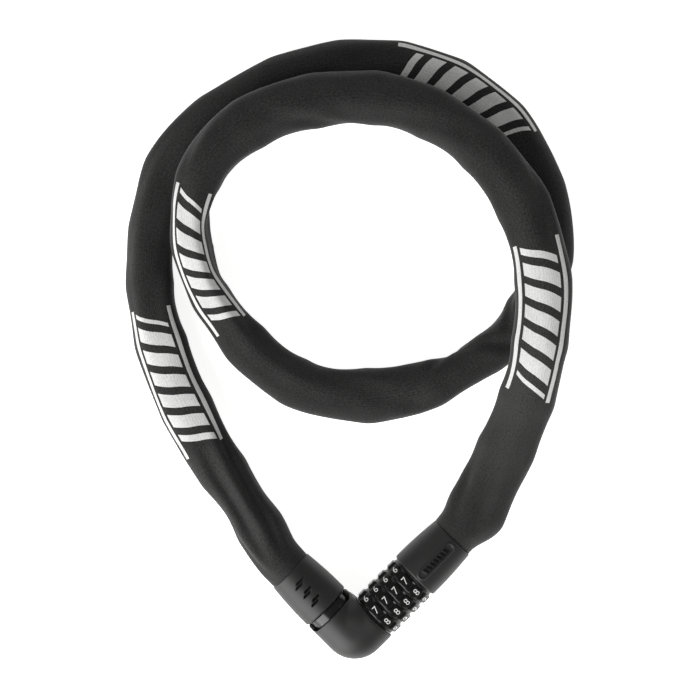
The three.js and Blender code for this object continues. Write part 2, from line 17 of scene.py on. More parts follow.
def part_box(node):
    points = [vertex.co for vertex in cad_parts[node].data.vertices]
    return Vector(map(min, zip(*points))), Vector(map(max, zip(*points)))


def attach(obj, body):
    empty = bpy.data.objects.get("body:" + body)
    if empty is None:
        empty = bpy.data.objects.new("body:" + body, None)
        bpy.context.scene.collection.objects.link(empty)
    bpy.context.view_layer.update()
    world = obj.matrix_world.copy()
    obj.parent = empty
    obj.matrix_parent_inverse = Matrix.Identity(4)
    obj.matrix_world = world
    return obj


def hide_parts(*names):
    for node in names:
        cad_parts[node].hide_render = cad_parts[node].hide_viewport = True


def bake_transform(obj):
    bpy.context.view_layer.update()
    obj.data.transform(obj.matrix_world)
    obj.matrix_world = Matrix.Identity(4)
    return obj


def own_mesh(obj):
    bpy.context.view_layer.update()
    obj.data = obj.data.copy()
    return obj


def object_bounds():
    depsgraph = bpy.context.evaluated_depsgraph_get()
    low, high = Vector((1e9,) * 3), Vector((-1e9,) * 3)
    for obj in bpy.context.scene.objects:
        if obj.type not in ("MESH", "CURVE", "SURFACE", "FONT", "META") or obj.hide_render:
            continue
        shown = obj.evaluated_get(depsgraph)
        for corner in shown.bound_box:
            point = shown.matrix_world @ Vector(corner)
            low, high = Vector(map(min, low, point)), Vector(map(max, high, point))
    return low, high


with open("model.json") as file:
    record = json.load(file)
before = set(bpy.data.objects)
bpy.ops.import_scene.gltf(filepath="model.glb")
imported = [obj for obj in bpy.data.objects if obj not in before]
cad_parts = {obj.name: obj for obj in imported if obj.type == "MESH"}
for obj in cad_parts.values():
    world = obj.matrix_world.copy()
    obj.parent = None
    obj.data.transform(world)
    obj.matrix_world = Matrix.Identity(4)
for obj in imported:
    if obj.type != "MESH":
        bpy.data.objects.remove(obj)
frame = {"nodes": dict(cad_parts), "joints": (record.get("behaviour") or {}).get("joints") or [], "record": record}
CAD_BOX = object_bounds()
MM = 0.001
UP = Vector((0, 0, 1))


# ---------- places, from the frame ----------


def joint(name):
    return next(j for j in frame["joints"] if j["name"] == name)


class Arm:
    """One arm of the lock body: +Y runs along the arm's axis, +X to its right, +Z up."""

    def __init__(self, axis, start):
        self.axis = Vector(axis).normalized()
        self.start = Vector(start)
        side = self.axis.cross(UP)
        self.matrix = Matrix.Translation(self.start) @ Matrix((side, self.axis, UP)).transposed().to_4x4()

    def at(self, along):
        return self.start + self.axis * along

    def span(self, node):
        """Where a CAD node begins and ends along the arm."""
        places = [(v.co - self.start).dot(self.axis) for v in frame["nodes"][node].data.vertices]
        return min(places), max(places)

    def radius(self, node):
        """How far a CAD node reaches from the arm's axis."""
        offsets = [v.co - self.start for v in frame["nodes"][node].data.vertices]
        return max((o - self.axis * o.dot(self.axis)).length for o in offsets)


def crossing():
    """The point where the axes of the two arms meet."""
    low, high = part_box("bolt_pin")
    height = (low.z + high.z) / 2
    dials = Vector(joint("dial_1_turn")["axis"]).normalized()
    on_dials = Vector(joint("dial_1_turn")["pos_m"])
    on_plug = Vector(((low.x + high.x) / 2, (low.y + high.y) / 2, height))
    # The arms are at right angles, so the step along the dials' axis is a plain projection.
    return on_dials + dials * (on_plug - on_dials).dot(dials)


CROSSING = crossing()
DIAL_ARM = Arm(joint("dial_1_turn")["axis"], CROSSING)
PLUG_ARM = Arm(joint("plug_slide")["axis"], CROSSING)
BARREL_R = CROSSING.z
DIAL_COUNT = 4


# ---------- camera, light and floor ----------

CAMERA_PLACE = Vector((-0.0102, 0.1151, 0.806))
CAMERA_LENS = 85
CAMERA_SENSOR = 36
# Square lights aimed at the object's middle, as (name, place from that middle, width, watts).
LIGHTS = [
    ("key", (-0.66, -0.81, 0.56), 1.2, 28.5),
    ("fill", (0.9, 0.1, 0.4), 0.5, 1.5),
    ("rear", (-0.2, 1.0, 0.4), 0.5, 2),
]
WORLD_STRENGTH = 0.16
FLOOR_HALF = 10
FLOOR_GLOW = 0.9
PAPER_WHITE = (0.95, 0.95, 0.945, 1)
PAPER_SHADE = (0.93, 0.93, 0.925, 1)


def linked(name, data):
    """A new object in the scene, with its data."""
    obj = bpy.data.objects.new(name, data)
    bpy.context.scene.collection.objects.link(obj)
    return obj


def add_camera():
    data = bpy.data.cameras.new("camera")
    data.lens = CAMERA_LENS
    data.sensor_width = CAMERA_SENSOR
    camera = linked("camera", data)
    camera.location = CAMERA_PLACE
    bpy.context.scene.camera = camera


def add_area_light(name, place, target, size, power):
    data = bpy.data.lights.new(name, "AREA")
    data.shape = "SQUARE"
    data.size = size
    data.energy = power
    light = linked(name, data)
    light.location = place
    light.rotation_euler = (target - place).to_track_quat("-Z", "Y").to_euler()


def add_lights():
    middle = (CAD_BOX[0] + CAD_BOX[1]) / 2
    for name, offset, size, power in LIGHTS:
        add_area_light(name, middle + Vector(offset), middle, size, power)
    world = bpy.data.worlds.new("studio")
    world.use_nodes = True
    background = world.node_tree.nodes["Background"]
    background.inputs["Color"].default_value = (1, 1, 1, 1)
    background.inputs["Strength"].default_value = WORLD_STRENGTH
    bpy.context.scene.world = world
    bpy.context.scene.view_settings.view_transform = "Standard"


# ---------- node helpers ----------


class Nodes:
    """A new node material, with short ways to add and join nodes."""

    def __init__(self, name):
        self.material = bpy.data.materials.new(name)
        self.material.use_nodes = True
        self.tree = self.material.node_tree
        self.shader = self.tree.nodes["Principled BSDF"]

    def put(self, value, socket):
        """Joins a socket to an input, or sets the input to a number or colour."""
        if isinstance(value, bpy.types.NodeSocket):
            self.tree.links.new(value, socket)
        else:
            socket.default_value = value

    def fill(self, node, inputs):
        """Puts values into a node's inputs, by name with _ for a space."""
        for name, value in inputs.items():
            self.put(value, node.inputs[name.replace("_", " ")])

    def add(self, kind, output, **inputs):
        """One output of a new node."""
        node = self.tree.nodes.new(kind)
        self.fill(node, inputs)
        return node.outputs[output]

    def set(self, **inputs):
        """Puts values into the material's shader."""
        self.fill(self.shader, inputs)

    def place(self):
        return self.add("ShaderNodeTexCoord", "Object")

    def noise(self, vector, scale, detail=3.0, roughness=0.5):
        return self.add(
            "ShaderNodeTexNoise", "Fac", Vector=vector, Scale=scale, Detail=detail, Roughness=roughness
        )

    def stretched(self, vector, scale):
        return self.add("ShaderNodeMapping", "Vector", Vector=vector, Scale=scale)

    def spread(self, value, low, high, start=0, end=1):
        """A value between start and end brought to the range from low to high."""
        limits = {"From_Min": start, "From_Max": end, "To_Min": low, "To_Max": high}
        return self.add("ShaderNodeMapRange", "Result", Value=value, **limits)

    def bump(self, height, strength, distance):
        bump = self.add("ShaderNodeBump", "Normal", Height=height, Strength=strength, Distance=distance)
        self.set(Normal=bump)

    def math(self, operation, *values):
        node = self.tree.nodes.new("ShaderNodeMath")
        node.operation = operation
        for value, socket in zip(values, node.inputs, strict=False):
            self.put(value, socket)
        return node.outputs[0]

    def within(self, value, limit):
        """1 where the value is nearer to 0 than the limit, and 0 elsewhere."""
        return self.math("LESS_THAN", self.math("ABSOLUTE", value), limit)

    def weighted(self, first, first_weight, second, second_weight):
        """The sum of two values, each times its weight."""
        first = self.math("MULTIPLY", first, first_weight)
        return self.math("ADD", first, self.math("MULTIPLY", second, second_weight))

    def mix(self, share, first, second):
        """A colour between two. This node's colour sockets are inputs 6 and 7 and output 2."""
        node = self.tree.nodes.new("ShaderNodeMix")
        node.data_type = "RGBA"
        for value, index in ((share, 0), (first, 6), (second, 7)):
            self.put(value, node.inputs[index])
        return node.outputs[2]


# ---------- materials ----------


def grey(level):
    return (level, level * 0.98, level * 0.96, 1)


def matte_plastic():
    """Moulded plastic with a fine spark-eroded texture."""
    n = Nodes("matte_plastic")
    place = n.place()
    grain = n.noise(place, 3200, detail=2)
    cloud = n.noise(place, 90, detail=4)
    n.set(
        Base_Color=n.mix(cloud, grey(0.014), grey(0.022)),
        Roughness=n.spread(grain, 0.42, 0.57),
        Specular_IOR_Level=0.34,
    )
    n.bump(grain, 0.25, 0.00008)
    return n.material


def recess_plastic():
    """The same moulding painted near black: painted shade in the depth of the grip grooves, and the black of the
    tail plaque's ribs.
    """
    n = Nodes("recess_plastic")
    grain = n.noise(n.place(), 3200, detail=2)
    n.set(
        Base_Color=n.mix(grain, grey(0.002), grey(0.004)),
        Roughness=n.spread(grain, 0.6, 0.8),
        Specular_IOR_Level=0.15,
    )
    n.bump(grain, 0.2, 0.00006)
    return n.material


def gloss_plastic(name, roughness, specular):
    """Polished black plastic, with faint handling marks."""
    n = Nodes(name)
    marks = n.noise(n.place(), 260, detail=5)
    n.set(
        Base_Color=n.mix(marks, grey(0.006), grey(0.011)),
        Roughness=n.spread(marks, roughness, roughness + 0.12),
        Specular_IOR_Level=specular,
    )
    n.bump(marks, 0.08, 0.00006)
    return n.material


def digit_paint():
    n = Nodes("digit_paint")
    speck = n.noise(n.place(), 1800)
    n.set(
        Base_Color=n.mix(speck, (0.72, 0.72, 0.7, 1), (0.86, 0.86, 0.85, 1)),
        Roughness=n.spread(speck, 0.35, 0.5),
    )
    n.bump(speck, 0.1, 0.00003)
    return n.material


def metal(name, colour, roughness):
    """Metal with fine machining lines."""
    n = Nodes(name)
    place = n.place()
    lines = n.noise(n.stretched(place, (1, 14, 14)), 900, detail=4)
    stain = n.noise(place, 120, detail=4)
    dark = tuple(c * 0.72 for c in colour[:3]) + (1,)
    n.set(
        Base_Color=n.mix(stain, dark, colour),
        Metallic=1.0,
        Roughness=n.spread(lines, roughness - 0.08, roughness + 0.1),
    )
    n.bump(lines, 0.15, 0.00004)
    return n.material


# Printed marks on the sleeve, as (middle along the sleeve, middle round it) with 0 on top.
PRINTS = [(0.109, -0.001), (0.375, 0.0004), (0.701, 0.001), (0.9825, -0.0006)]
PRINT_HALF_LENGTH = 0.036
PRINT_HALF_WIDTH = 0.0094
RAIL_HALF_WIDTH = 0.00125
BAR_PITCH = 0.0105
BAR_SHARE = 0.62
BAR_SLANT = 0.55
BAR_HALF_WIDTH = 0.0066
BAR_ROW_HALF_LENGTH = 0.031


def print_mask(n, along, across):
    """1 on the printed marks: each is a row of slanted bars between two plain rails."""
    mask = 0.0
    for middle_along, middle_across in PRINTS:
        x = n.math("SUBTRACT", along, middle_along)
        y = n.math("SUBTRACT", across, middle_across)
        off_rail = n.math("SUBTRACT", n.math("ABSOLUTE", y), PRINT_HALF_WIDTH)
        slanted = n.math("ADD", x, n.math("MULTIPLY", y, BAR_SLANT))
        phase = n.math("FRACT", n.math("DIVIDE", n.math("ADD", slanted, 1.0), BAR_PITCH))
        bar = n.math("LESS_THAN", phase, BAR_SHARE)
        bar = n.math("MULTIPLY", bar, n.within(y, BAR_HALF_WIDTH))
        bar = n.math("MULTIPLY", bar, n.within(slanted, BAR_ROW_HALF_LENGTH))
        mark = n.math("MAXIMUM", bar, n.within(off_rail, RAIL_HALF_WIDTH))
        mark = n.math("MULTIPLY", mark, n.within(x, PRINT_HALF_LENGTH))
        mask = n.math("MAXIMUM", mask, mark)
    return mask


RIB_PITCH = 0.0009
RIB_WOBBLE = 0.0012
WEFT_PITCH = 0.0008
PALE_FROM = 0.16  # where the cloth starts to turn paler, from the tail cap
PALEST_FROM = 0.1


def sleeve_fabric():
    """Black ribbed textile. Its ribs run along the sleeve, and its marks are printed on the ribs."""
    n = Nodes("sleeve_fabric")
    uv_map = n.tree.nodes.new("ShaderNodeUVMap")
    uv_map.uv_map = "sleeve"
    uv = uv_map.outputs["UV"]
    along, across = (n.add("ShaderNodeSeparateXYZ", axis, Vector=uv) for axis in "XY")
    wobble = n.math("MULTIPLY", n.noise(n.stretched(uv, (0.5, 1, 1)), 420, detail=2), RIB_WOBBLE)
    rib = n.math("SINE", n.math("MULTIPLY", n.math("ADD", across, wobble), 2 * math.pi / RIB_PITCH))
    weft = n.math("SINE", n.math("MULTIPLY", along, 2 * math.pi / WEFT_PITCH))
    crossed = n.math("MULTIPLY", rib, weft)
    weave = n.weighted(rib, 0.5, crossed, 0.5)
    streak = n.noise(n.stretched(uv, (0.6, 1, 1)), 1500, detail=3, roughness=0.75)
    cloud = n.noise(uv, 60, detail=6, roughness=0.7)
    shade = n.math("SUBTRACT", n.weighted(streak, 2.2, cloud, 0.8), 1.0)
    # The cloth's colour is painted paler towards the tail cap.
    pale = n.spread(along, 0, 1, SLEEVE_LENGTH - PALE_FROM, SLEEVE_LENGTH - PALEST_FROM)
    paled = n.math("ADD", shade, n.math("MULTIPLY", pale, 0.3))
    woven = n.math("ADD", paled, n.math("MULTIPLY", weave, 0.14))
    cloth = n.mix(woven, grey(0.002), grey(0.033))
    ink = n.mix(n.weighted(weave, 0.16, shade, 0.7), (0.5, 0.5, 0.49, 1), (0.82, 0.82, 0.81, 1))
    n.set(
        Base_Color=n.mix(print_mask(n, along, across), cloth, ink),
        Roughness=n.spread(cloud, 0.78, 0.92),
        Specular_IOR_Level=0.3,
        Sheen_Weight=0.12,
        Sheen_Roughness=0.4,
    )
    n.bump(weave, 0.4, 0.00014)
    return n.material


def floor_paper():
    n = Nodes("floor_paper")
    n.set(
        Base_Color=n.mix(n.noise(n.place(), 30), PAPER_WHITE, PAPER_SHADE),
        Roughness=0.95,
        Emission_Color=PAPER_WHITE,
        Emission_Strength=FLOOR_GLOW,
    )
    return n.material


# ---------- meshes ----------

SHARP_ANGLE = math.radians(35)
CORNER_SHARE = 0.49  # share of an edge that one corner takes at most


def object_from(bm, name="temporary"):
    """An object from a bmesh, which is freed."""
    bmesh.ops.recalc_face_normals(bm, faces=bm.faces)
    mesh = bpy.data.meshes.new(name)
    bm.to_mesh(mesh)
    bm.free()
    return linked(name, mesh)


def add_object(name, bm, material, place=None):
    """A smooth-shaded object from a bmesh, which is freed. place moves it from an arm's axes."""
    if place is not None:
        bm.transform(place)
    obj = object_from(bm, name)
    obj.data.shade_smooth()
    obj.data.set_sharp_from_angle(angle=SHARP_ANGLE)
    obj.data.materials.append(material)
    return obj


def grid(bm, rows, closed=True):
    """Faces between neighbouring rows of points. Each row is a closed loop."""
    made = [[bm.verts.new(point) for point in row] for row in rows]
    for row, after in zip(made, made[1:] + made[:1] if closed else made[1:]):
        for i in range(len(row)):
            j = (i + 1) % len(row)
            bm.faces.new((row[i], row[j], after[j], after[i]))
    return made


def rounded(outline, steps=4):
    """A closed outline of (radius, along, corner) points, with each corner turned into an arc."""
    points = []
    for i, (r, y, corner) in enumerate(outline):
        here = Vector((r, y))
        if corner <= 0:
            points.append(here)
            continue
        before = Vector(outline[i - 1][:2])
        after = Vector(outline[(i + 1) % len(outline)][:2])
        back = min(corner, (before - here).length * CORNER_SHARE)
        ahead = min(corner, (after - here).length * CORNER_SHARE)
        start = here + (before - here).normalized() * back
        end = here + (after - here).normalized() * ahead
        for k in range(steps + 1):
            t = k / steps
            points.append(start * (1 - t) ** 2 + here * (2 * t * (1 - t)) + end * t**2)
    return points


def turned(outline, segments=128):
    """A ring turned about +Y from a closed outline of (radius, along, corner) points."""
    points = rounded(outline)
    rows = []
    for k in range(segments):
        angle = 2 * math.pi * k / segments
        c, s = math.cos(angle), math.sin(angle)
        rows.append([(p.x * c, p.y, p.x * s) for p in points])
    bm = bmesh.new()
    grid(bm, rows)
    return bm


def evaluated(obj):
    """A new mesh of an object as its modifiers leave it."""
    graph = bpy.context.evaluated_depsgraph_get()
    return bpy.data.meshes.new_from_object(obj.evaluated_get(graph))


def settle(obj):
    """Applies an object's modifiers to its mesh."""
    mesh = evaluated(obj)
    obj.modifiers.clear()
    obj.data = mesh


def discard(obj):
    bpy.data.objects.remove(obj)


def taken(obj):
    """An object's mesh as a bmesh. The object goes."""
    bm = bmesh.new()
    bm.from_mesh(obj.data)
    discard(obj)
    return bm


def cut_with(obj, *tools, operation="DIFFERENCE"):
    """Cuts an object with closed bmeshes, or joins or crosses it with them."""
    for bm in tools:
        tool = object_from(bm)
        change = obj.modifiers.new("cut", "BOOLEAN")
        change.operation = operation
        change.solver = "EXACT"
        change.object = tool
        settle(obj)
        discard(tool)


def soften(obj, voxel, passes):
    """Gives a mesh even small faces and rounds its edges, as moulding does."""
    remesh = obj.modifiers.new("remesh", "REMESH")
    remesh.mode = "VOXEL"
    remesh.voxel_size = voxel
    smooth = obj.modifiers.new("smooth", "SMOOTH")
    smooth.factor = 0.5
    smooth.iterations = passes
    settle(obj)


def finished(name, obj, material):
    """Names an object, gives it its material and shades it smoothly."""
    obj.name = name
    obj.data.name = name
    obj.data.materials.clear()
    obj.data.materials.append(material)
    obj.data.shade_smooth()


def cylinder(radius, start, end, segments=96):
    """A closed cylinder along +Y."""
    bm = bmesh.new()
    turn = Matrix.Translation((0, (start + end) / 2, 0)) @ Matrix.Rotation(math.pi / 2, 4, "X")
    bmesh.ops.create_cone(
        bm, cap_ends=True, segments=segments, radius1=radius, radius2=radius, depth=end - start, matrix=turn
    )
    return bm


def prism(outline, low, high):
    """A closed upright prism from an outline of (x, y) points."""
    bm = bmesh.new()
    floor = [bm.verts.new((x, y, low)) for x, y in outline]
    bottom = bm.faces.new(floor)
    lifted = bmesh.ops.extrude_face_region(bm, geom=[bottom])["geom"]
    top = [v for v in lifted if isinstance(v, bmesh.types.BMVert)]
    bmesh.ops.translate(bm, verts=top, vec=(0, 0, high - low))
    return bm


def stadium(half_length, half_width, steps=14):
    """An oblong outline with round ends, long along +Y."""
    points = []
    for end in (1, -1):
        for k in range(steps + 1):
            angle = math.pi * k / steps + (0 if end > 0 else math.pi)
            y = end * (half_length - half_width) + half_width * math.sin(angle)
            points.append((half_width * math.cos(angle), y))
    return points


# ---------- route of the chain and its sleeve ----------

# Heights of the sleeve's middle: on the floor, on the other turn, and where it crosses on top.
REST = 10.2
HIGH = 28.6
OVER = 31.3
PLUG_MOUTH = PLUG_ARM.span("plug_cap")[1]
TAIL_MOUTH = DIAL_ARM.span("tail_cap")[1]

# The middle of the sleeve between the two mouths, in millimetres from the crossing's foot.
ROUTE = [
    (-37.5, 38.3, 12.2), (-45, 50.4, 11.2), (-54.2, 65, 10.4), (-72, 92, REST), (-88.5, 126, REST),
    (-98.5, 166, REST), (-96.5, 200, REST), (-83.5, 232, REST), (-58, 254.5, REST), (-26, 269.5, REST),
    (10, 274, REST), (45.5, 265, REST), (74.5, 242, REST), (90, 212, REST), (94.2, 190, REST),
    (91.5, 172, REST), (84.5, 157, REST), (75, 144, REST), (59, 131.7, REST), (37, 120.5, REST),
    (8, 115, REST), (-22, 118.5, REST), (-45, 132.5, REST), (-62.5, 152, 11.8), (-73.8, 171, 17),
    (-78.5, 193, 24), (-74.5, 215, 28), (-62, 234, HIGH), (-40.5, 248, HIGH), (-12, 255, 28),
    (17, 254.3, 27.5), (42, 244.6, 28.3), (64, 226.3, 29.5), (80, 202, 30), (88.3, 169, OVER),
    (85.3, 130, 28.8), (77.2, 101.3, 18), (66.3, 76.6, 11.8),
]  # fmt: skip

RING_STEP = 0.0015
TUCK = 0.0016  # how far the sleeve goes into each cap's mouth
LEAD_IN = 0.008  # how far inside each mouth the route's guiding points lie


def smooth_line(points, per_span=60):
    """Points along a centripetal Catmull-Rom curve through all but the first and last of points."""
    p = np.array(points, float)
    line = []
    for i in range(1, len(p) - 2):
        a, b, c, d = p[i - 1 : i + 3]
        t0 = 0
        t1 = t0 + np.linalg.norm(b - a) ** 0.5
        t2 = t1 + np.linalg.norm(c - b) ** 0.5
        t3 = t2 + np.linalg.norm(d - c) ** 0.5
        for k in range(per_span):
            t = t1 + (t2 - t1) * k / per_span
            ab = a * (t1 - t) / (t1 - t0) + b * (t - t0) / (t1 - t0)
            bc = b * (t2 - t) / (t2 - t1) + c * (t - t1) / (t2 - t1)
            cd = c * (t3 - t) / (t3 - t2) + d * (t - t2) / (t3 - t2)
            abc = ab * (t2 - t) / (t2 - t0) + bc * (t - t0) / (t2 - t0)
            bcd = bc * (t3 - t) / (t3 - t1) + cd * (t - t1) / (t3 - t1)
            line.append(abc * (t2 - t) / (t2 - t1) + bcd * (t - t1) / (t2 - t1))
    line.append(p[-2])
    return np.array(line)


def resample(line, step):
    """Evenly spaced points along a line, and how far along it each one is."""
    far = np.concatenate([[0], np.cumsum(np.linalg.norm(np.diff(line, axis=0), axis=1))])
    places = np.linspace(0, far[-1], int(round(far[-1] / step)) + 1)
    return np.stack([np.interp(places, far, line[:, k]) for k in range(3)], 1), places


def sleeve_line():
    """Even points along the sleeve's middle from mouth to mouth, and how far along it each one is."""
    foot = Vector((CROSSING.x, CROSSING.y, 0))
    free = [foot + Vector(point) * MM for point in ROUTE]
    ends = [PLUG_ARM.at(PLUG_MOUTH - LEAD_IN), PLUG_ARM.at(PLUG_MOUTH - TUCK)]
    far_ends = [DIAL_ARM.at(TAIL_MOUTH - TUCK), DIAL_ARM.at(TAIL_MOUTH - LEAD_IN)]
    return resample(smooth_line([*ends, *free, *far_ends]), RING_STEP)


LINE, ALONG = sleeve_line()
SLEEVE_LENGTH = float(ALONG[-1])


# ---------- sleeve ----------

MOUTH_R = 0.01085
SLEEVE_WALL = 0.0008
END_WALL = 0.0002  # the cloth is pressed thin in the caps' mouths
THIN_LENGTH = 0.006
AROUND = 66

# Half width of the sleeve at chosen places along it, as (place, half width) in millimetres.
HALF_WIDTHS = [
    (0, 10.85), (5, 11.2), (22, 12), (40, 11), (58, 12.2), (85, 13), (118, 12.8), (150, 11.4), (185, 11.2),
    (210, 12.6), (260, 12.1), (300, 12.4), (345, 12.6), (400, 12.8), (436, 12), (475, 11.6), (508, 10.6),
    (528, 9.6), (546, 9.6), (566, 13), (585, 13.2), (605, 12.2), (650, 11.6), (672, 10), (690, 9.2),
    (722, 9), (745, 11), (765, 12.6), (800, 13), (850, 12.4), (890, 12), (925, 12.9), (975, 13.8),
    (1000, 12.9), (1030, 13.5), (1068, 14.3), (1086, 14.6), (1094, 12.2), (1100, 10.85),
]  # fmt: skip
# The cloth hangs out to the left of its line before the tail cap, as (place, shift) in millimetres.
SIDE_SHIFTS = [(0, 0), (1052, 0), (1070, 0.8), (1084, 2.4), (1091, 2.2), (1098, 0)]
# The cloth is twisted a little near both ends, as (place in millimetres, degrees to the right).
ROLLS = [(0, 0), (22, -9), (58, -9), (76, 0), (900, 0), (950, 13), (1070, 15), (1094, 0)]
ROUND_GIRTH = 0.069  # distance round the sleeve
GIRTH_R = ROUND_GIRTH / (2 * math.pi)
LEAST_HALF_HEIGHT = 0.0088
MOST_HALF_HEIGHT = 0.0102
WIDTH_BLUR = 9  # rows over which the half widths are averaged
ROUND_END_LENGTH = 0.024  # the section flattens over this length
SMOOTH_END_LENGTH = 0.012  # folds and shoulders grow over this length
SQUARENESS = 0.16
FACET_LENGTH = 0.031
FACET_DEPTH = 0.0009
FACET_MIDDLE = 0.45  # share of the depth that stands out
FACET_DRIFT = 0.004
FACET_DRIFT_WAVES = 37
FLOOR_GAP = 0.0003
CHAIN_ROOM = 0.0004  # least room between the chain and the inside of the sleeve
RAY_START = 0.0122  # outside this turn's links, short of the other turn's

# Slow unevenness of the cloth, as (waves along a metre, waves round the sleeve, height).
UNEVENNESS = [(34, 1.6, 0.55 * MM), (110, 3.2, 0.22 * MM)]

# Soft folds, as (share of the sleeve's length, angle round it in radians, length, lean, width, depth).
# Lengths are in millimetres, lean is a slope, and a negative depth is a groove.
FOLDS = [
    (0.04, -0.14, 60, 0.03, 1.6, -2.1), (0.042, 0.26, 64, 0.03, 2.2, 1.1), (0.05, 0.72, 50, 0.05, 2.2, -1.4),
    (0.016, -0.9, 28, -0.2, 2.4, -1.1), (0.02, 0.5, 24, 0.2, 2, -1), (0.15, 0.6, 42, 0.2, 3.2, -0.7),
    (0.2, -0.8, 50, 0.15, 3.4, -0.8), (0.3, -0.3, 46, -0.2, 3.2, -0.7), (0.36, 0.8, 52, 0.2, 3.4, -0.9),
    (0.455, 0.9, 30, -0.7, 2.6, -1.3), (0.475, 0.4, 34, 0.8, 2.8, -1.4), (0.5, 1, 30, -0.8, 2.4, -1.4),
    (0.53, 0.1, 44, 0.3, 3.2, -0.8), (0.6, 0.7, 46, 0.2, 3.2, -0.9), (0.67, -0.5, 44, -0.3, 3.2, -0.8),
    (0.73, 0.8, 40, 0.4, 3, -1), (0.79, 0.3, 48, -0.2, 3.2, -0.8), (0.85, -0.6, 44, 0.3, 3.2, -0.9),
    (0.6, 0.25, 110, 0.02, 2.6, 1.1), (0.935, -0.15, 90, 0.03, 2.8, 1.2), (0.15, -0.3, 90, 0.02, 3, 0.9),
    (0.72, 0.2, 120, 0, 2.8, 1), (0.32, 0.3, 110, 0.01, 3, 1), (0.86, -0.1, 80, -0.02, 2.8, 0.9),
    (0.95, 0.9, 60, 0, 3, -0.9), (0.976, -0.1, 38, 0.02, 2, -2), (0.982, 0.6, 26, -0.1, 2.2, -1),
]  # fmt: skip
FOLD_SIDE_PLACE = 1.9  # in widths of the fold
FOLD_SIDE_SHARE = 0.45  # of the fold's depth


def smoothstep(t):
    t = np.clip(t, 0, 1)
    return t * t * (3 - 2 * t)


def away_from_caps(along, length):
    """0 at either cap's mouth, rising softly to 1 over a length."""
    return smoothstep(np.minimum(along, SLEEVE_LENGTH - along) / length)


def half_sizes(along):
    """Half width and half height of the sleeve at places along it."""
    places, widths = np.array(HALF_WIDTHS).T * MM
    wide = np.interp(along, places, widths)
    kernel = np.hanning(WIDTH_BLUR)
    wide = np.convolve(np.pad(wide, WIDTH_BLUR // 2, mode="edge"), kernel / kernel.sum(), mode="valid")
    # The cloth keeps its girth, so a wider stretch is a flatter one.
    high = np.sqrt(np.maximum(2 * GIRTH_R**2 - wide**2, LEAST_HALF_HEIGHT**2))
    high = np.clip(high, LEAST_HALF_HEIGHT, MOST_HALF_HEIGHT)
    free = away_from_caps(along, ROUND_END_LENGTH)
    return wide, MOUTH_R * (1 - free) + high * free


def level_frames(line):
    """The sideways and upward directions at each point, with the side kept level."""
    tangent = np.gradient(line, axis=0)
    tangent[0] = PLUG_ARM.axis
    tangent[-1] = -DIAL_ARM.axis
    tangent /= np.linalg.norm(tangent, axis=1)[:, None]
    side = np.cross(tangent, (0, 0, 1))
    side /= np.linalg.norm(side, axis=1)[:, None]
    return side, np.cross(side, tangent)


def crumple(along, angle):
    """How far the cloth stands in or out, at a place along the sleeve and an angle round it."""
    move = np.zeros(np.broadcast(along, angle).shape)
    for share, at, length, lean, width, depth in FOLDS:
        x = along - share * SLEEVE_LENGTH
        off_angle = (angle - at + math.pi) % (2 * math.pi) - math.pi
        y = off_angle * GIRTH_R - lean * x
        in_length = np.exp(-((x / (length * MM / 2)) ** 4))
        move += depth * MM * np.exp(-((y / (width * MM)) ** 2)) * in_length
        # A fold pushes the cloth the other way beside it.
        beside = np.abs(y) - FOLD_SIDE_PLACE * width * MM
        move -= FOLD_SIDE_SHARE * depth * MM * np.exp(-((beside / (width * MM)) ** 2)) * in_length
    return move


def facets(along, angle):
    """The straight links inside the cloth give its sides long, very shallow facets."""
    # The links are not evenly taut, so the facets drift a little along the sleeve.
    drift = FACET_DRIFT * np.sin(along * FACET_DRIFT_WAVES)
    turn = (along + drift) / FACET_LENGTH
    on_facet = 1 - (2 * (turn - np.floor(turn)) - 1) ** 2
    return FACET_DEPTH * (FACET_MIDDLE - on_facet) * np.abs(np.sin(angle))


def soft_noise(along, angle):
    """Slow unevenness of the cloth, from fixed noise."""
    out = np.zeros(np.broadcast(along, angle).shape)
    for i, place in enumerate(along[:, 0]):
        for j, turn in enumerate(angle[0]):
            for length_waves, round_waves, height in UNEVENNESS:
                across, upward = round_waves * math.cos(turn), round_waves * math.sin(turn)
                out[i, j] += height * noise.noise(Vector((place * length_waves, across, upward)))
    return out


def chain_reach(directions):
    """How far the chain reaches from the sleeve's line in each of the directions at each of its points."""
    verts, faces = [], []
    for name, node in frame["nodes"].items():
        if name.startswith("chain_link_"):
            first = len(verts)
            verts += [v.co.copy() for v in node.data.vertices]
            faces += [[first + i for i in face.vertices] for face in node.data.polygons]
    chain = BVHTree.FromPolygons(verts, faces)
    reach = np.zeros(directions.shape[:2])
    for i, row in enumerate(directions):
        middle = Vector(LINE[i])
        for j, direction in enumerate(row):
            away = Vector(direction)
            place, _, _, depth = chain.ray_cast(middle + away * RAY_START, -away, RAY_START)
            if place is not None:
                reach[i, j] = RAY_START - depth
    return reach


def widest_near(values, rows, columns):
    """The greatest of the values within some rows and columns of each one. Columns run round the sleeve."""
    around = values
    for step in range(1, columns + 1):
        around = np.maximum(around, np.roll(values, step, axis=1))
        around = np.maximum(around, np.roll(values, -step, axis=1))
    best = around.copy()
    for step in range(1, rows + 1):
        best[step:] = np.maximum(best[step:], around[:-step])
        best[:-step] = np.maximum(best[:-step], around[step:])
    return best


def evened(values, passes):
    """Values averaged with their neighbours along and round the sleeve."""
    for _ in range(passes):
        padded = np.pad(values, ((1, 1), (0, 0)), mode="edge")
        values = (padded[:-2] + 2 * values + padded[2:]) / 4
        values = (np.roll(values, 1, axis=1) + 2 * values + np.roll(values, -1, axis=1)) / 4
    return values


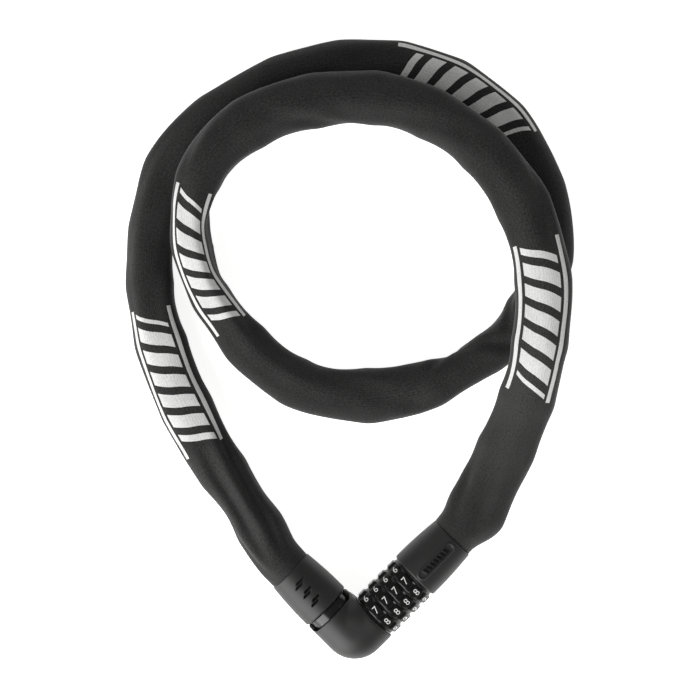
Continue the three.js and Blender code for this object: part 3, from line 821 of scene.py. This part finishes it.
def sleeve_points():
    """Rows of points on the outside of the sleeve, one row for each point of the line."""
    side, lift = level_frames(LINE)
    wide, high = half_sizes(ALONG)
    angle = np.linspace(-math.pi, math.pi, AROUND, endpoint=False)[None, :]
    along = ALONG[:, None]
    free = away_from_caps(along, SMOOTH_END_LENGTH)
    power = 1 - SQUARENESS * free
    # Angle 0 is on top of the sleeve and grows towards its right-hand side.
    across = np.sign(np.sin(angle)) * np.abs(np.sin(angle)) ** power
    upward = np.sign(np.cos(angle)) * np.abs(np.cos(angle)) ** power
    swell = free * (crumple(along, angle) + facets(along, angle) + soft_noise(along, angle))
    reach_side = wide[:, None] * across + swell * np.sin(angle)
    reach_up = high[:, None] * upward + swell * np.cos(angle)
    places, degrees = np.array(ROLLS).T
    roll = np.radians(np.interp(ALONG, places * MM, degrees))[:, None]
    reach_side, reach_up = (
        reach_side * np.cos(roll) + reach_up * np.sin(roll),
        reach_up * np.cos(roll) - reach_side * np.sin(roll),
    )
    reach_side = reach_side - np.interp(ALONG, *(np.array(SIDE_SHIFTS).T * MM))[:, None]
    offsets = reach_side[..., None] * side[:, None, :] + reach_up[..., None] * lift[:, None, :]
    reach = np.linalg.norm(offsets, axis=2)
    directions = offsets / reach[..., None]
    # The cloth lies over the chain wherever it would otherwise cut into a link.
    need = chain_reach(directions)
    need = np.where(need > 0, need + SLEEVE_WALL + CHAIN_ROOM, 0)
    reach = np.maximum(reach, widest_near(need, rows=3, columns=1))
    reach = np.maximum(evened(reach, passes=3), need)
    points = LINE[:, None, :] + directions * reach[..., None]
    points[..., 2] = np.maximum(points[..., 2], FLOOR_GAP)
    return points, angle[0]


def add_sleeve(material):
    """The sleeve as one closed piece of cloth with an outer and an inner face."""
    points, angle = sleeve_points()
    around = len(angle)
    wall = (END_WALL + (SLEEVE_WALL - END_WALL) * away_from_caps(ALONG, THIN_LENGTH))[:, None, None]
    inward = LINE[:, None, :] - points
    inner = points + inward / np.linalg.norm(inward, axis=2)[..., None] * wall
    rows = np.concatenate([points, inner[::-1]])
    bm = bmesh.new()
    made = grid(bm, rows.tolist())
    # The map runs along the sleeve in metres, and round it with 0 on top.
    layer = bm.loops.layers.uv.new("sleeve")
    places = np.concatenate([ALONG, ALONG[::-1]])
    step = ROUND_GIRTH / around
    number = {vert: (i, j) for i, row in enumerate(made) for j, vert in enumerate(row)}
    for face in bm.faces:
        columns = [number[loop.vert][1] for loop in face.loops]
        across_seam = max(columns) - min(columns) > 1
        for loop, column in zip(face.loops, columns):
            if across_seam and column == 0:
                column = around
            row = number[loop.vert][0]
            loop[layer].uv = (places[row], (column - around / 2) * step)
    sleeve = add_object("sleeve", bm, material)
    sleeve.data.set_sharp_from_angle(angle=math.pi)
    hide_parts("textile_sleeve")
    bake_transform(sleeve)
    return sleeve


# ---------- lock body ----------

GAP = 0.3 * MM  # room between pieces that fit into one another
BOLT_BORE_R = 0.0048
TUBE_BORE_R = DIAL_ARM.radius("dial_tube") + GAP
CORNER_OFFSET = 0.00315  # the corner's middle, along each arm
COLLAR = PLUG_ARM.span("plug_collar")
WASHER_LAP = 0.7 * MM  # how far the elbow's mouth reaches over the washer
WASHER_SEAT = 1 * MM  # depth of the recess for a washer
DIAL_MOUTH = DIAL_ARM.span("dial_washer_elbow")[0] + WASHER_LAP
ROUGH_VOXEL = 0.0004  # mesh size of the elbow while its corner is rounded
ELBOW_VOXEL = 0.0003

# The window in the elbow's rim, through which the collar shows.
WINDOW_START = COLLAR[0] + 0.8 * MM
WINDOW_HALF_WIDTH = 0.0122
WINDOW_LOW_EDGE = 0.003
WINDOW_CORNER = 1.4 * MM


def corner_form():
    """The rounded corner: a half circle turned about an upright axis, a little way off that axis."""
    outline = [(0, -BARREL_R)]
    steps = 40
    for k in range(steps + 1):
        angle = -math.pi / 2 + math.pi * k / steps
        outline.append((CORNER_OFFSET + BARREL_R * math.cos(angle), BARREL_R * math.sin(angle)))
    outline.append((0, BARREL_R))
    bm = bmesh.new()
    made = [bm.verts.new((r, 0, z)) for r, z in outline]
    edges = [bm.edges.new(pair) for pair in zip(made, made[1:])]
    bmesh.ops.spin(bm, geom=made + edges, cent=(0, 0, 0), axis=(0, 0, 1), angle=2 * math.pi, steps=128)
    bmesh.ops.remove_doubles(bm, verts=bm.verts, dist=1e-6)
    bmesh.ops.translate(bm, verts=bm.verts, vec=(0, CORNER_OFFSET * math.sqrt(2), 0))
    return bm


def moved(bm, matrix):
    bm.transform(matrix)
    return bm


def joined(*parts):
    whole = bmesh.new()
    for part in parts:
        mesh = bpy.data.meshes.new("part")
        part.to_mesh(mesh)
        part.free()
        whole.from_mesh(mesh)
        bpy.data.meshes.remove(mesh)
    return whole


def window_tool(end):
    """The window as a solid to cut with. It is open towards the plug, and its two corners are bevelled."""
    side, corner = WINDOW_HALF_WIDTH, WINDOW_CORNER
    right = [(side - corner, WINDOW_START), (side, WINDOW_START + corner), (side, end)]
    left = [(-x, y) for x, y in reversed(right)]
    return prism(left + right, WINDOW_LOW_EDGE, 2 * BARREL_R)


def add_elbow(material):
    """The elbow: a round corner and two stubs, smoothed together and then cut out for what goes in."""
    plug_end = COLLAR[1]
    turn_dial = Matrix.Rotation(-math.pi / 4, 4, "Z")
    turn_plug = Matrix.Rotation(math.pi / 4, 4, "Z")
    dial_stub = moved(cylinder(BARREL_R, CORNER_OFFSET, DIAL_MOUTH), turn_dial)
    plug_stub = moved(cylinder(BARREL_R, CORNER_OFFSET, plug_end), turn_plug)
    elbow = object_from(joined(corner_form(), dial_stub, plug_stub))
    soften(elbow, ROUGH_VOXEL, passes=60)
    far = 4 * BARREL_R
    half = 2 * BARREL_R
    past_dials, past_plug = (
        moved(prism([(-half, start), (half, start), (half, far), (-half, far)], -half, half), turn)
        for start, turn in ((DIAL_MOUTH, turn_dial), (plug_end, turn_plug))
    )
    washer_r = DIAL_ARM.radius("dial_washer_elbow") + GAP
    collar_r = PLUG_ARM.radius("plug_collar") + GAP
    cut_with(
        elbow,
        past_dials,
        past_plug,
        moved(cylinder(washer_r, DIAL_MOUTH - WASHER_SEAT, far), turn_dial),
        moved(cylinder(TUBE_BORE_R, DIAL_ARM.span("dial_tube")[0] - GAP, far), turn_dial),
        moved(cylinder(BOLT_BORE_R, PLUG_ARM.span("bolt_pin")[0] - GAP, far), turn_plug),
        moved(cylinder(collar_r, COLLAR[0] - GAP, far), turn_plug),
        moved(window_tool(far), turn_plug),
    )
    soften(elbow, ELBOW_VOXEL, passes=3)
    elbow.data.transform(Matrix.Translation(CROSSING))
    finished("elbow_shell", elbow, material)
    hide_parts("elbow_housing")
    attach(elbow, "root")


# ---------- caps ----------

PLUG_START = PLUG_ARM.span("plug_cap")[0]
TAIL_START = DIAL_ARM.span("tail_cap")[0]
PLUG_WALL_END = PLUG_START + 2.5 * MM
TAIL_WALL_END = TAIL_START + 3 * MM
CAP_EDGE = 0.0011  # rounding of a cap's front edge
CAP_MOUTH_R = BARREL_R - 1.2 * MM
CAP_CAVITY_R = 0.0109
CAP_VOXEL = 0.00024


def cap_outline(start, end, hole_r, wall_end):
    """A cap's closed outline of (radius, along, corner), from its front edge to its mouth and back inside."""
    length = end - start
    return [
        (hole_r, start, 0.2 * MM),
        (BARREL_R, start, CAP_EDGE),
        (BARREL_R - 0.05 * MM, start + 0.35 * length, 3 * MM),
        (BARREL_R - 0.45 * MM, start + 0.65 * length, 3 * MM),
        (CAP_MOUTH_R + 0.15 * MM, end - 1.6 * MM, 1 * MM),
        (CAP_MOUTH_R, end, 0.8 * MM),
        (CAP_CAVITY_R, end, 0.3 * MM),
        (CAP_CAVITY_R, wall_end, 0.4 * MM),
        (hole_r, wall_end, 0.2 * MM),
    ]


# The grip marks in the plug's cap, in millimetres of the arm's X and Y.
GRIP_PLACES = (26.2, 31.6, 37.0)
GRIP_STROKE = [(-3.1, -0.5), (1.4, -0.58), (3.1, 0.5), (-1.4, 0.58)]
GRIP_STEP = (0.95, 0.72)  # from a mark's middle to each stroke's
GRIP_FLOOR = BARREL_R - 1.3 * MM  # height of the grooves' floor above the arm's axis
GRIP_PAINTED_SHADE = (0.0111, BARREL_R - 0.35 * MM)  # radii of the grooves' faces that get painted shade


def grip_outlines():
    """Three pairs of slanted strokes, each pair stepped like a flash, in X and Y of the arm."""
    for middle in GRIP_PLACES:
        for side in (-1, 1):
            shift_x = side * GRIP_STEP[0]
            shift_y = middle + side * GRIP_STEP[1]
            yield [((x + shift_x) * MM, (y + shift_y) * MM) for x, y in GRIP_STROKE]


def inside(outline, x, y):
    """Whether a point lies within a convex outline that runs anticlockwise."""
    pairs = zip(outline, outline[1:] + outline[:1])
    return all((bx - ax) * (y - ay) > (by - ay) * (x - ax) for (ax, ay), (bx, by) in pairs)


def darken(obj, material, outlines, radii):
    """Gives a second material to the top faces that lie within an outline and between two radii."""
    obj.data.materials.append(material)
    low, high = radii
    for face in obj.data.polygons:
        x, y, z = face.center
        in_range = low < math.hypot(x, z) < high
        if z > 0 and in_range and any(inside(outline, x, y) for outline in outlines):
            face.material_index = 1


def add_plug_cap(material, dark):
    cap = object_from(turned(cap_outline(PLUG_START, PLUG_MOUTH, BOLT_BORE_R, PLUG_WALL_END)))
    outlines = list(grip_outlines())
    cut_with(cap, *[prism(outline, GRIP_FLOOR, 2 * BARREL_R) for outline in outlines])
    soften(cap, CAP_VOXEL, passes=1)
    finished("plug_shell", cap, material)
    # The grooves' faces get the near-black material: painted shade in the recesses.
    darken(cap, dark, outlines, GRIP_PAINTED_SHADE)
    cap.data.transform(PLUG_ARM.matrix)
    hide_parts("plug_cap")
    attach(cap, "plug")


# The raised plaque on the tail cap.
PLAQUE_HALF_LENGTH = 0.0113
PLAQUE_HALF_WIDTH = 0.0026
PLAQUE_RIM = 0.0007
PLAQUE_HEIGHT = 0.0006
PLAQUE_LEAN = math.radians(5)
PLAQUE_ROOT = 0.0113  # height above the axis where its parts are raised from
PLAQUE_SKIN_R = 0.0112  # inside the cap's wall, where its parts begin
PLAQUE_DARK = (0.0119, 2 * BARREL_R)  # radii of the ribs' dark faces
RIB_OUTLINE = [(-1.3, -1.1), (1.2, -0.45), (1.3, 1.1), (-1.2, 0.45)]
RIB_COUNT = 7
RIB_STEP = 0.0022


def rib_outlines(middle):
    """A row of slanted ribs inside the plaque, in X and Y of the arm."""
    for k in range(RIB_COUNT):
        y = middle + (k - (RIB_COUNT - 1) / 2) * RIB_STEP
        yield [(cx * MM, y + cy * MM) for cx, cy in RIB_OUTLINE]


def plaque_parts(middle):
    """A raised rim, and a row of slanted ribs inside it, as upright prisms through the cap's wall."""
    low, high = PLAQUE_ROOT, 2 * BARREL_R
    rim = object_from(prism(stadium(PLAQUE_HALF_LENGTH, PLAQUE_HALF_WIDTH), low, high))
    opening = stadium(PLAQUE_HALF_LENGTH - PLAQUE_RIM, PLAQUE_HALF_WIDTH - PLAQUE_RIM)
    cut_with(rim, prism(opening, 0, 3 * BARREL_R))
    border = taken(rim)
    border.transform(Matrix.Translation((0, middle, 0)))
    raised = joined(border, *[prism(outline, low, high) for outline in rib_outlines(middle)])
    raised.transform(Matrix.Rotation(PLAQUE_LEAN, 4, "Y"))
    return raised


def add_tail_cap(material, dark):
    middle = (TAIL_START + TAIL_MOUTH) / 2
    cap = object_from(turned(cap_outline(TAIL_START, TAIL_MOUTH, TUBE_BORE_R, TAIL_WALL_END)))
    raised = object_from(plaque_parts(middle))
    # The plaque follows the cap's outside, a little way above it.
    skin = cap_outline(TAIL_START, TAIL_MOUTH, PLAQUE_SKIN_R, TAIL_START + WASHER_SEAT)
    skin = [(r + (PLAQUE_HEIGHT if r > PLAQUE_ROOT else 0), y, corner) for r, y, corner in skin]
    cut_with(raised, turned(skin), operation="INTERSECT")
    cut_with(cap, taken(raised), operation="UNION")
    washer_r = DIAL_ARM.radius("dial_washer_tail") + GAP
    cut_with(cap, cylinder(washer_r, TAIL_START - WASHER_SEAT, TAIL_START + WASHER_SEAT))
    soften(cap, CAP_VOXEL, passes=1)
    finished("tail_shell", cap, material)
    # The lean moves the top of the cap sideways, and the dark patches with it.
    shift = BARREL_R * math.sin(PLAQUE_LEAN)
    outlines = [[(x + shift, y) for x, y in outline] for outline in rib_outlines(middle)]
    darken(cap, dark, outlines, PLAQUE_DARK)
    cap.data.transform(DIAL_ARM.matrix)
    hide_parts("tail_cap")
    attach(cap, "root")


# ---------- collar and washers ----------

# Each as (CAD node, arm, radius of the bore, rounding of the edges, body).
RINGS = [
    ("plug_collar", PLUG_ARM, BOLT_BORE_R, 0.3 * MM, "plug"),
    ("dial_washer_elbow", DIAL_ARM, TUBE_BORE_R, 0.25 * MM, "root"),
    ("dial_washer_tail", DIAL_ARM, TUBE_BORE_R, 0.25 * MM, "root"),
]


def add_rings(material):
    for node, arm, bore, edge, body in RINGS:
        low, high = arm.span(node)
        radius = arm.radius(node)
        outline = [(bore, low, edge), (radius, low, edge), (radius, high, edge), (bore, high, edge)]
        ring = add_object(f"{node}_ring", turned(outline), material, arm.matrix)
        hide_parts(node)
        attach(ring, body)


# ---------- return spring ----------

SPRING_TURNS = 5
SPRING_WIRE_R = 0.45 * MM
SPRING_STEPS = 48 * SPRING_TURNS
SPRING_SIDES = 16


def add_return_spring(material):
    """The spindle's coil spring."""
    node = "spindle_spring"
    low, high = DIAL_ARM.span(node)
    coil_r = DIAL_ARM.radius(node) - SPRING_WIRE_R
    rows = []
    for k in range(SPRING_STEPS + 1):
        share = k / SPRING_STEPS
        # The end turns lie closer together than the middle ones.
        eased = (share + float(smoothstep(share))) / 2
        y = low + SPRING_WIRE_R + (high - low - 2 * SPRING_WIRE_R) * eased
        angle = 2 * math.pi * SPRING_TURNS * share
        row = []
        for i in range(SPRING_SIDES):
            around = 2 * math.pi * i / SPRING_SIDES
            r = coil_r + SPRING_WIRE_R * math.cos(around)
            row.append((r * math.cos(angle), y + SPRING_WIRE_R * math.sin(around), r * math.sin(angle)))
        rows.append(row)
    bm = bmesh.new()
    made = grid(bm, rows, closed=False)
    bm.faces.new(made[0])
    bm.faces.new(made[-1])
    spring = add_object("return_spring", bm, material, DIAL_ARM.matrix)
    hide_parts(node)
    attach(spring, "root")
    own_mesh(spring)


# ---------- dials ----------

DIGITS = 10
READING_TILT = math.radians(13)
READING_DIGIT = 7  # the digit that every dial shows on top
DIAL_BORE_R = 0.011
DIAL_CORE_R = 0.0118
DIAL_EDGE = 0.4 * MM  # length over which a dial's edge drops
DIAL_EDGE_DROP = 0.25 * MM
PAD_SHARE = 0.36  # half of a pad's width, as a share of one digit's step
PAD_SIDE_SHARE = 0.1  # width of the slope at a pad's side, as such a share
PAD_HALF_LENGTH = 2.15 * MM
PAD_END_LENGTH = 0.6 * MM  # length of the slope at a pad's end
VALLEY_DEPTH = 0.35 * MM  # below the core's surface, between pads
DIAL_SEGMENTS = 400
DIAL_STEPS = 26

DIGIT_HEIGHT = 3.5 * MM
DIGIT_DEPTH = 0.16 * MM
DIGIT_NARROWING = 0.92
DIGIT_THINNING = -0.012  # taken off the strokes of a digit one unit high
DIGIT_EDGE = 0.35 * MM  # longer edges are divided, to bend round the dial


def dial_rows(low, high, pad_r):
    """Rows of points round a dial, with ten pads that rise softly from its core."""
    middle = (low + high) / 2
    rows = []
    for k in range(DIAL_SEGMENTS):
        angle = 2 * math.pi * k / DIAL_SEGMENTS
        turn = (angle - READING_TILT) / (2 * math.pi) * DIGITS
        off_pad = abs(turn - round(turn))
        past_side = off_pad - PAD_SHARE + PAD_SIDE_SHARE / 2
        on_pad_round = float(1 - smoothstep(past_side / PAD_SIDE_SHARE))
        row = []
        for i in range(DIAL_STEPS + 1):
            y = low + (high - low) * i / DIAL_STEPS
            past_end = abs(y - middle) - PAD_HALF_LENGTH + PAD_END_LENGTH / 2
            on_pad_along = float(1 - smoothstep(past_end / PAD_END_LENGTH))
            inside_edge = float(smoothstep(min(y - low, high - y) / DIAL_EDGE))
            r = DIAL_CORE_R - DIAL_EDGE_DROP * (1 - inside_edge)
            r += (pad_r - DIAL_CORE_R) * on_pad_round * on_pad_along
            r -= VALLEY_DEPTH * (1 - on_pad_round) * on_pad_along
            row.append((r, y))
        row += [(DIAL_BORE_R, high), (DIAL_BORE_R, low)]
        rows.append([(-r * math.sin(angle), y, r * math.cos(angle)) for r, y in row])
    return rows


def digit_mesh(digit):
    """One digit as a closed solid, upright in X and Y, with its middle at the origin."""
    curve = bpy.data.curves.new("digit", "FONT")
    curve.body = str(digit)
    curve.align_x = "CENTER"
    curve.extrude = DIGIT_DEPTH / 2
    curve.resolution_u = 6
    curve.offset = DIGIT_THINNING
    text = linked("digit", curve)
    bpy.context.view_layer.update()
    bm = bmesh.new()
    bm.from_mesh(evaluated(text))
    discard(text)
    bmesh.ops.remove_doubles(bm, verts=bm.verts, dist=1e-5)
    xs = [v.co.x for v in bm.verts]
    ys = [v.co.y for v in bm.verts]
    middle = Vector(((min(xs) + max(xs)) / 2, (min(ys) + max(ys)) / 2, 0))
    scale = DIGIT_HEIGHT / (max(ys) - min(ys))
    for v in bm.verts:
        flat = (v.co - middle) * scale
        v.co = Vector((flat.x * DIGIT_NARROWING, flat.y, v.co.z))
    long_edges = [e for e in bm.edges if e.calc_length() > DIGIT_EDGE]
    bmesh.ops.subdivide_edges(bm, edges=long_edges, cuts=5)
    bmesh.ops.triangulate(bm, faces=bm.faces)
    return bm


def wrap(bm, angle, along, radius):
    """Bends an upright digit round a dial, with its right side along the arm."""
    for v in bm.verts:
        turn = angle + v.co.y / radius
        r = radius + v.co.z
        v.co = Vector((-r * math.sin(turn), along + v.co.x, r * math.cos(turn)))
    return bm


def add_dial(number, shell, paint):
    """One dial, and its digits as a second piece on the same body."""
    node = f"dial_{number}"
    body = f"dial_{number}_body"
    low, high = DIAL_ARM.span(node)
    pad_r = DIAL_ARM.radius(node)
    bm = bmesh.new()
    grid(bm, dial_rows(low, high, pad_r))
    dial = add_object(f"{node}_wheel", bm, shell, DIAL_ARM.matrix)
    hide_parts(node)
    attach(dial, body)
    digits = []
    for digit in range(DIGITS):
        angle = READING_TILT + (READING_DIGIT - digit) * 2 * math.pi / DIGITS
        digits.append(wrap(digit_mesh(digit), angle, (low + high) / 2, pad_r))
    numbers = add_object(f"{node}_numbers", joined(*digits), paint, DIAL_ARM.matrix)
    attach(numbers, body)


# ---------- everything together ----------

STEEL = (0.55, 0.56, 0.57, 1)
DARK_STEEL = (0.22, 0.23, 0.24, 1)
CHAIN_STEEL = (0.42, 0.43, 0.44, 1)
BRASS = (0.69, 0.53, 0.28, 1)


def dress_cad_nodes(finishes):
    """Gives every CAD node the material of its slot in the record. Some nodes are then replaced."""
    slots = {part["node"]: part["material_slot"] for part in frame["record"]["subparts"]}
    for name, node in frame["nodes"].items():
        node.data.materials.clear()
        node.data.materials.append(finishes[slots[name]])


def add_floor(material):
    bm = bmesh.new()
    corners = [(x * FLOOR_HALF, y * FLOOR_HALF, 0) for x, y in ((-1, -1), (1, -1), (1, 1), (-1, 1))]
    bm.faces.new([bm.verts.new(corner) for corner in corners])
    floor = add_object("floor", bm, material)


def main():
    finishes = {
        "housing_plastic": matte_plastic(),
        "gloss_plastic": gloss_plastic("gloss_plastic", 0.14, 0.4),
        "dial_plastic": gloss_plastic("dial_plastic", 0.14, 0.25),
        "dark_steel": metal("dark_steel", DARK_STEEL, 0.42),
        "steel": metal("steel", STEEL, 0.3),
        "spring_steel": metal("spring_steel", STEEL, 0.25),
        "chain_steel": metal("chain_steel", CHAIN_STEEL, 0.34),
        "brass": metal("brass", BRASS, 0.3),
        "sleeve_fabric": sleeve_fabric(),
    }
    add_camera()
    add_lights()
    add_floor(floor_paper())
    add_sleeve(finishes["sleeve_fabric"])
    dress_cad_nodes(finishes)
    add_elbow(finishes["housing_plastic"])
    shade_and_black = recess_plastic()
    add_plug_cap(finishes["housing_plastic"], shade_and_black)
    add_tail_cap(finishes["housing_plastic"], shade_and_black)
    add_rings(finishes["gloss_plastic"])
    add_return_spring(finishes["spring_steel"])
    paint = digit_paint()
    for number in range(1, DIAL_COUNT + 1):
        add_dial(number, finishes["dial_plastic"], paint)


main()
